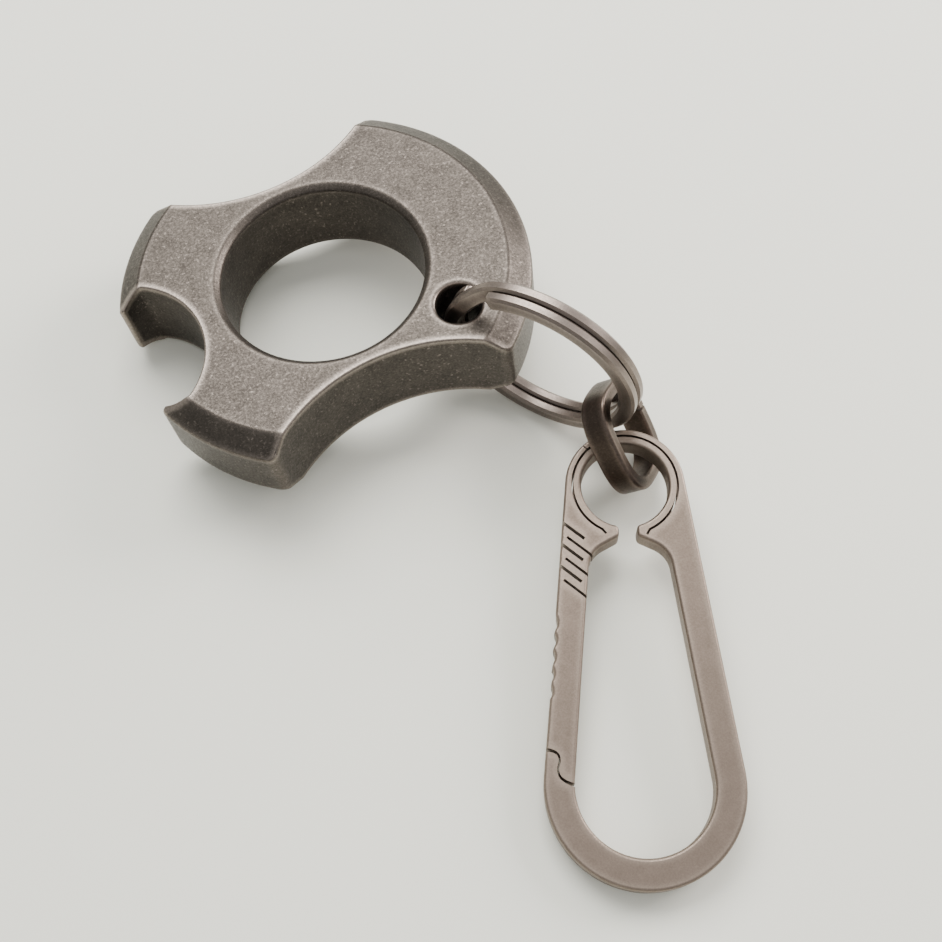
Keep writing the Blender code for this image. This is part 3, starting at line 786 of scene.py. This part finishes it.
def spring_hook(at_deg, turn_deg):
    """The short straight end of the arc slot."""
    angle = math.radians(at_deg)
    start = Vector((math.cos(angle), math.sin(angle))) * SPRING_SLOT_R
    way = math.radians(turn_deg)
    end = start + Vector((math.cos(way), math.sin(way))) * SPRING_HOOK_L
    back = start - Vector((math.cos(way), math.sin(way))) * (SPRING_SLOT_W / 4)
    return bar(back, end, SPRING_SLOT_W)


def grip_cut(index):
    """One shallow scallop of the thumb grip."""
    slope = arm_slope()
    out = Vector((-math.cos(slope), math.sin(slope)))
    along = Vector((-math.sin(slope), -math.cos(slope)))
    base = Vector((0.0, BOW_Y)) + out * BOW_OUT_R
    y = GRIP_FIRST_Y - GRIP_PITCH * index
    spot = base + along * ((y - base.y) / along.y)
    return spot + out * (GRIP_R - GRIP_DEPTH)


def flexure_region(top_index, bottom_index):
    """The arm between two split slots, as a region wider than the arm."""
    along, normal = slot_frame()
    middle = arm_edge(slot_level(top_index), True).dot(along)
    outer = along * (middle - GATE_OVERRUN)
    inner = along * (middle + FLEXURE_REACH)
    top = normal * (slot_level(top_index) - SLOT_W_IN / 2)
    bottom = normal * (slot_level(bottom_index) + SLOT_W_IN / 2)
    return [outer + top, inner + top, inner + bottom, outer + bottom]


def latch_side(side):
    """One wall of the smooth latch gap: side 1 is the gate's nose, side -1 the frame's hook."""
    points = [Vector(p) * MM for p in LATCH_LINE]
    padded = [points[0] * 2 - points[1]] + points + [points[-1] * 2 - points[-2]]
    last = LATCH_STEPS * (len(points) - 1)
    wall = []
    for i in range(last + 1):
        k = min(i // LATCH_STEPS, len(points) - 2)
        t = i / LATCH_STEPS - k
        a, b, c, d = padded[k:k + 4]
        first, square, cube = c - a, a * 2 - b * 5 + c * 4 - d, b * 3 - a - c * 3 + d
        spot = b + (first * t + square * t ** 2 + cube * t ** 3) / 2
        run = (first + square * 2 * t + cube * 3 * t ** 2).normalized()
        share = 2 * i / last - 1
        gap = LATCH_GAP_MIDDLE + (LATCH_GAP_ENDS - LATCH_GAP_MIDDLE) * share ** 2
        wall.append(spot + Vector((-run.y, run.x)) * (side * gap / 2))
    return wall


def gate_region(side, level):
    """The arm from a slot level down to one side of the latch gap."""
    along, _ = slot_frame()
    edge = arm_edge(level, True)
    start = edge - along * GATE_OVERRUN
    end = edge + along * GATE_REACH
    wall = latch_side(side)
    low = wall[-1] + Vector((LATCH_INNER_SPARE, 0.0))
    return [start, end, low] + list(reversed(wall))


def plate_blank(home, cutters):
    """The flat plate with its eye, throat, window and thumb grip, edges rounded."""
    plate = slab("carabiner_plate", [plate_outline(), window_outline()], -PLATE_T, 0.0, home)
    drill = pin("eye_drill", EYE_R, SAW_BOTTOM, SAW_TOP, (0.0, 0.0), cutters, EYE_SIDES)
    combine(plate, drill, "DIFFERENCE")
    above_lip = LIP_Y / 2
    below_lip = LIP_Y - CUT_SPARE
    throat = [Vector((-THROAT_HALF, above_lip)), Vector((-THROAT_HALF, below_lip)),
              Vector((THROAT_HALF, below_lip)), Vector((THROAT_HALF, above_lip))]
    saw(plate, "throat", throat, cutters)
    for i in range(GRIP_COUNT):
        grip = pin(f"grip_{i}", GRIP_R, SAW_BOTTOM, SAW_TOP, grip_cut(i), cutters, GRIP_SIDES)
        combine(plate, grip, "DIFFERENCE")
    settle(plate)
    return round_edges(plate, PLATE_EDGE, EDGE_SEGMENTS)


def saw(plate, name, outline, cutters):
    """Cut an outline right through the plate."""
    combine(plate, slab(name + "_saw", [outline], SAW_BOTTOM, SAW_TOP, cutters), "DIFFERENCE")


def cut_slots(plate, cutters):
    """The eye's spring slot with its hooks, the stop cut, and the slots open at the outer edge."""
    saw(plate, "spring", spring_slot(SPRING_SLOT_LOW_W), cutters)
    wide = slab("spring_wide_saw", [spring_slot(SPRING_SLOT_W)], SPRING_SLOT_STEP, SAW_TOP, cutters)
    combine(plate, wide, "DIFFERENCE")
    for at, turn in zip(SPRING_SLOT_DEG, SPRING_HOOK_DEG):
        saw(plate, "spring_hook", spring_hook(at, turn), cutters)
    cut = math.radians(STOP_CUT_DEG)
    ray = Vector((math.cos(cut), math.sin(cut)))
    saw(plate, "stop", bar(ray * SPRING_SLOT_R, ray * (EYE_OUT_R + CUT_SPARE), STOP_CUT_W), cutters)
    for index in OUTER_SLOTS:
        saw(plate, f"outer_slot_{index}", outer_slot(index), cutters)
    for index in SPLIT_SLOTS:
        saw(plate, f"inner_slot_{index}", inner_slot(index), cutters)


def cut_piece(plate, name, region, home, cutters):
    """The part of the plate inside a region."""
    piece = join_mesh(name, plate.data.copy(), home)
    keep = slab(name + "_region", [region], SAW_BOTTOM, SAW_TOP, cutters)
    return combine(piece, keep, "INTERSECT")


def build_carabiner(home, cutters, look):
    """The plate, parted at its flexure; each thin web is cut out as a fixed piece between the two parts
    beside it.
    """
    plate = plate_blank(home, cutters)
    cut_slots(plate, cutters)
    first, second, third = SPLIT_SLOTS
    nose = gate_region(1, slot_level(third) - SLOT_W_IN / 2)
    rigid = {
        "flexure_upper_leaf": (flexure_region(first, second), "flexure_upper", "flexure_top"),
        "flexure_lower_leaf": (flexure_region(second, third), "flexure_lower", "flexure_bottom"),
        "gate_arm": (nose, "carabiner_gate", "gate"),
    }
    webs = {
        "web_upper": (first, "carabiner", "flexure_top"),
        "web_middle": (second, "flexure_top", "flexure_bottom"),
        "web_lower": (third, "flexure_bottom", "gate"),
    }
    for name, (region, node, body) in rigid.items():
        piece = cut_piece(plate, name, region, home, cutters)
        finish(piece, plate_matrix(), look, body)
        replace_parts(piece, node)
    for name, (index, upper, lower) in webs.items():
        piece = cut_piece(plate, name, web_region(index), home, cutters)
        finish(piece, plate_matrix(), look)
        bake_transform(piece)
    saw(plate, "gate", gate_region(-1, slot_level(first) + SLOT_W_IN / 2), cutters)
    finish(plate, plate_matrix(), look, "carabiner")
    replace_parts(plate, "carabiner_frame")


def noise(nodes, links, scale, detail, roughness, low, high):
    """A noise pattern in object space, stretched to run from 0 to 1 between two levels."""
    place = nodes.new("ShaderNodeTexCoord")
    pattern = nodes.new("ShaderNodeTexNoise")
    pattern.inputs["Scale"].default_value = scale
    pattern.inputs["Detail"].default_value = detail
    pattern.inputs["Roughness"].default_value = roughness
    links.new(place.outputs["Object"], pattern.inputs["Vector"])
    spread = nodes.new("ShaderNodeMapRange")
    spread.inputs["From Min"].default_value = low
    spread.inputs["From Max"].default_value = high
    links.new(pattern.outputs["Fac"], spread.inputs["Value"])
    return spread.outputs["Result"]


def scratches(nodes, links, turn, scale, stretch, width):
    """Short straight marks: thin bands of a stretched cell pattern."""
    place = nodes.new("ShaderNodeTexCoord")
    lay = nodes.new("ShaderNodeMapping")
    lay.inputs["Rotation"].default_value = (0.0, 0.0, math.radians(turn))
    lay.inputs["Scale"].default_value = (scale, scale * stretch, scale)
    cells = nodes.new("ShaderNodeTexVoronoi")
    cells.feature = "F1"
    cells.inputs["Scale"].default_value = 1.0
    cells.inputs["Randomness"].default_value = 1.0
    links.new(place.outputs["Object"], lay.inputs["Vector"])
    links.new(lay.outputs["Vector"], cells.inputs["Vector"])
    spread = nodes.new("ShaderNodeMapRange")
    spread.inputs["From Min"].default_value = width
    spread.inputs["From Max"].default_value = width * MARK_CORE
    links.new(cells.outputs["Distance"], spread.inputs["Value"])
    return spread.outputs["Result"]


def worn_edge(nodes, links, reach, full, none):
    """1 on outward edges, where rays sent into the metal soon leave it again, and 0 on open faces."""
    thin = nodes.new("ShaderNodeAmbientOcclusion")
    thin.inside = True
    thin.only_local = True
    thin.samples = WORN_SAMPLES
    thin.inputs["Distance"].default_value = reach
    spread = nodes.new("ShaderNodeMapRange")
    spread.inputs["From Min"].default_value = none
    spread.inputs["From Max"].default_value = full
    links.new(thin.outputs["AO"], spread.inputs["Value"])
    return spread.outputs["Result"]


def maths(nodes, links, operation, first, second):
    """A sum or product of two values, kept between 0 and 1."""
    step = nodes.new("ShaderNodeMath")
    step.operation = operation
    step.use_clamp = True
    for socket, value in zip(step.inputs, (first, second)):
        if isinstance(value, (int, float)):
            socket.default_value = value
        else:
            links.new(value, socket)
    return step.outputs[0]


def mixed(nodes, links, share, first, second):
    """Colour that goes from first to second with share."""
    mix = nodes.new("ShaderNodeMix")
    mix.data_type = "RGBA"
    links.new(share, mix.inputs["Factor"])
    for socket, value in ((mix.inputs["A"], first), (mix.inputs["B"], second)):
        if isinstance(value, tuple):
            socket.default_value = (*value, 1.0)
        else:
            links.new(value, socket)
    return mix.outputs["Result"]


def scaled(nodes, links, value, share):
    """A share of a value."""
    return maths(nodes, links, "MULTIPLY", value, share)


def short_marks(nodes, links, fine):
    """Two sets of short marks that run in different directions."""
    first, second = [
        scratches(nodes, links, turn, fine / size, stretch, width)
        for turn, size, stretch, width in zip(MARK_TURNS_DEG, MARK_SIZES, MARK_STRETCHES, MARK_WIDTHS)
    ]
    return maths(nodes, links, "MAXIMUM", first, second)


def metal(name, dark, light, worn, roughness, speck, wear, bump, grain):
    """Tumbled titanium: mottled colour, pale specks and short marks, edges worn lighter, fine dents."""
    look = bpy.data.materials.new(name + LOOK_ENDING)
    look.use_nodes = True
    nodes = look.node_tree.nodes
    links = look.node_tree.links
    shader = nodes["Principled BSDF"]
    shader.inputs["Metallic"].default_value = 1.0
    fine = 1.0 / grain
    cloud = noise(nodes, links, fine / CLOUD_SIZE, 4.0, 0.6, 0.3, 0.7)
    grit = noise(nodes, links, fine / GRIT_SIZE, 3.0, 0.7, 0.38, 0.68)
    specks = noise(nodes, links, fine / SPECK_SIZE, 2.0, 0.6, 0.6, 0.78)
    marks = short_marks(nodes, links, fine)
    edge = worn_edge(nodes, links, WORN_REACH, WORN_FULL, WORN_NONE)
    mottle = maths(nodes, links, "ADD", scaled(nodes, links, cloud, CLOUD_SHARE),
                   scaled(nodes, links, grit, GRIT_SHARE))
    tone = mixed(nodes, links, mottle, dark, light)
    pale = scaled(nodes, links, maths(nodes, links, "MAXIMUM", specks, marks), speck)
    tone = mixed(nodes, links, pale, tone, worn)
    uneven = maths(nodes, links, "ADD", WORN_EVEN, scaled(nodes, links, grit, WORN_PATCHY))
    patchy = maths(nodes, links, "MULTIPLY", edge, uneven)
    tone = mixed(nodes, links, scaled(nodes, links, patchy, wear), tone, worn)
    links.new(tone, shader.inputs["Base Color"])
    rough = nodes.new("ShaderNodeMapRange")
    rough.inputs["To Min"].default_value = roughness + ROUGHNESS_SPREAD
    rough.inputs["To Max"].default_value = roughness - ROUGHNESS_SPREAD
    links.new(maths(nodes, links, "MAXIMUM", grit, patchy), rough.inputs["Value"])
    links.new(rough.outputs["Result"], shader.inputs["Roughness"])
    dents = nodes.new("ShaderNodeBump")
    dents.inputs["Strength"].default_value = bump
    dents.inputs["Distance"].default_value = DENT_DEPTH
    height = maths(nodes, links, "ADD", scaled(nodes, links, grit, DENT_GRIT),
                   scaled(nodes, links, marks, DENT_MARKS))
    links.new(height, dents.inputs["Height"])
    links.new(dents.outputs["Normal"], shader.inputs["Normal"])
    return look


def collection(name, hidden=False):
    found = bpy.data.collections.new(name)
    bpy.context.scene.collection.children.link(found)
    found.hide_render = hidden
    return found


def make_floor():
    """A plain pale floor, level with the object's underside."""
    low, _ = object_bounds()
    mesh = bpy.data.meshes.new("floor")
    work = bmesh.new()
    bmesh.ops.create_grid(work, x_segments=1, y_segments=1, size=FLOOR_HALF)
    work.to_mesh(mesh)
    work.free()
    floor = bpy.data.objects.new("floor", mesh)
    bpy.context.scene.collection.objects.link(floor)
    floor.location = (0.0, 0.0, low[2])
    look = bpy.data.materials.new("floor")
    look.use_nodes = True
    shader = look.node_tree.nodes["Principled BSDF"]
    shader.inputs["Base Color"].default_value = (*FLOOR_COLOUR, 1.0)
    shader.inputs["Roughness"].default_value = FLOOR_ROUGHNESS
    shader.inputs["Specular IOR Level"].default_value = FLOOR_SPECULAR
    mesh.materials.append(look)


def make_world():
    """A plain sky that brightens towards the top."""
    world = bpy.data.worlds.new("studio")
    world.use_nodes = True
    nodes = world.node_tree.nodes
    links = world.node_tree.links
    back = nodes["Background"]
    place = nodes.new("ShaderNodeTexCoord")
    split = nodes.new("ShaderNodeSeparateXYZ")
    links.new(place.outputs["Generated"], split.inputs["Vector"])
    ramp = nodes.new("ShaderNodeValToRGB")
    ramp.color_ramp.elements[0].position = 0.0
    ramp.color_ramp.elements[0].color = (*SKY_LOW, 1.0)
    ramp.color_ramp.elements[1].position = SKY_HIGH_AT
    ramp.color_ramp.elements[1].color = (*SKY_HIGH, 1.0)
    links.new(split.outputs["Z"], ramp.inputs["Fac"])
    links.new(ramp.outputs["Color"], back.inputs["Color"])
    back.inputs["Strength"].default_value = SKY_STRENGTH
    bpy.context.scene.world = world


def soft_light(name, spot, size, power, colour):
    """A large area light that faces the object."""
    lamp = bpy.data.lights.new(name, "AREA")
    lamp.shape = "RECTANGLE"
    lamp.size = size[0]
    lamp.size_y = size[1]
    lamp.energy = power
    lamp.color = colour
    holder = bpy.data.objects.new(name, lamp)
    bpy.context.scene.collection.objects.link(holder)
    holder.location = spot
    holder.rotation_euler = (-Vector(spot)).to_track_quat("-Z", "Y").to_euler()


def make_camera():
    """The camera, from its place and the way it faces."""
    lens = bpy.data.cameras.new("camera")
    lens.lens = CAMERA_LENS
    lens.sensor_width = CAMERA_SENSOR
    lens.clip_start = CAMERA_CLIP
    holder = bpy.data.objects.new("camera", lens)
    bpy.context.scene.collection.objects.link(holder)
    right = Vector(CAMERA_RIGHT).normalized()
    ahead = Vector(CAMERA_AHEAD).normalized()
    up = right.cross(ahead)
    turn = Matrix((right, up, -ahead)).transposed().to_4x4()
    holder.matrix_world = Matrix.Translation(CAMERA_AT) @ turn
    bpy.context.scene.camera = holder


def main():
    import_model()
    pieces = collection("pieces")
    cutters = collection("cutters", hidden=True)
    make_camera()
    looks = {name: metal(name, **finish_of) for name, finish_of in FINISHES.items()}
    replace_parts(build_opener(pieces, cutters, looks["stonewashed_titanium"]), "opener_body")
    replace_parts(build_ring(pieces, looks["satin_titanium"]), "split_ring")
    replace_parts(build_link(pieces, cutters, looks["tumbled_titanium"]), "oval_link")
    build_carabiner(pieces, cutters, looks["blasted_titanium"])
    for cutter in list(cutters.objects):
        bpy.data.objects.remove(cutter)
    make_floor()
    make_world()
    for light in LIGHTS:
        soft_light(*light)


main()
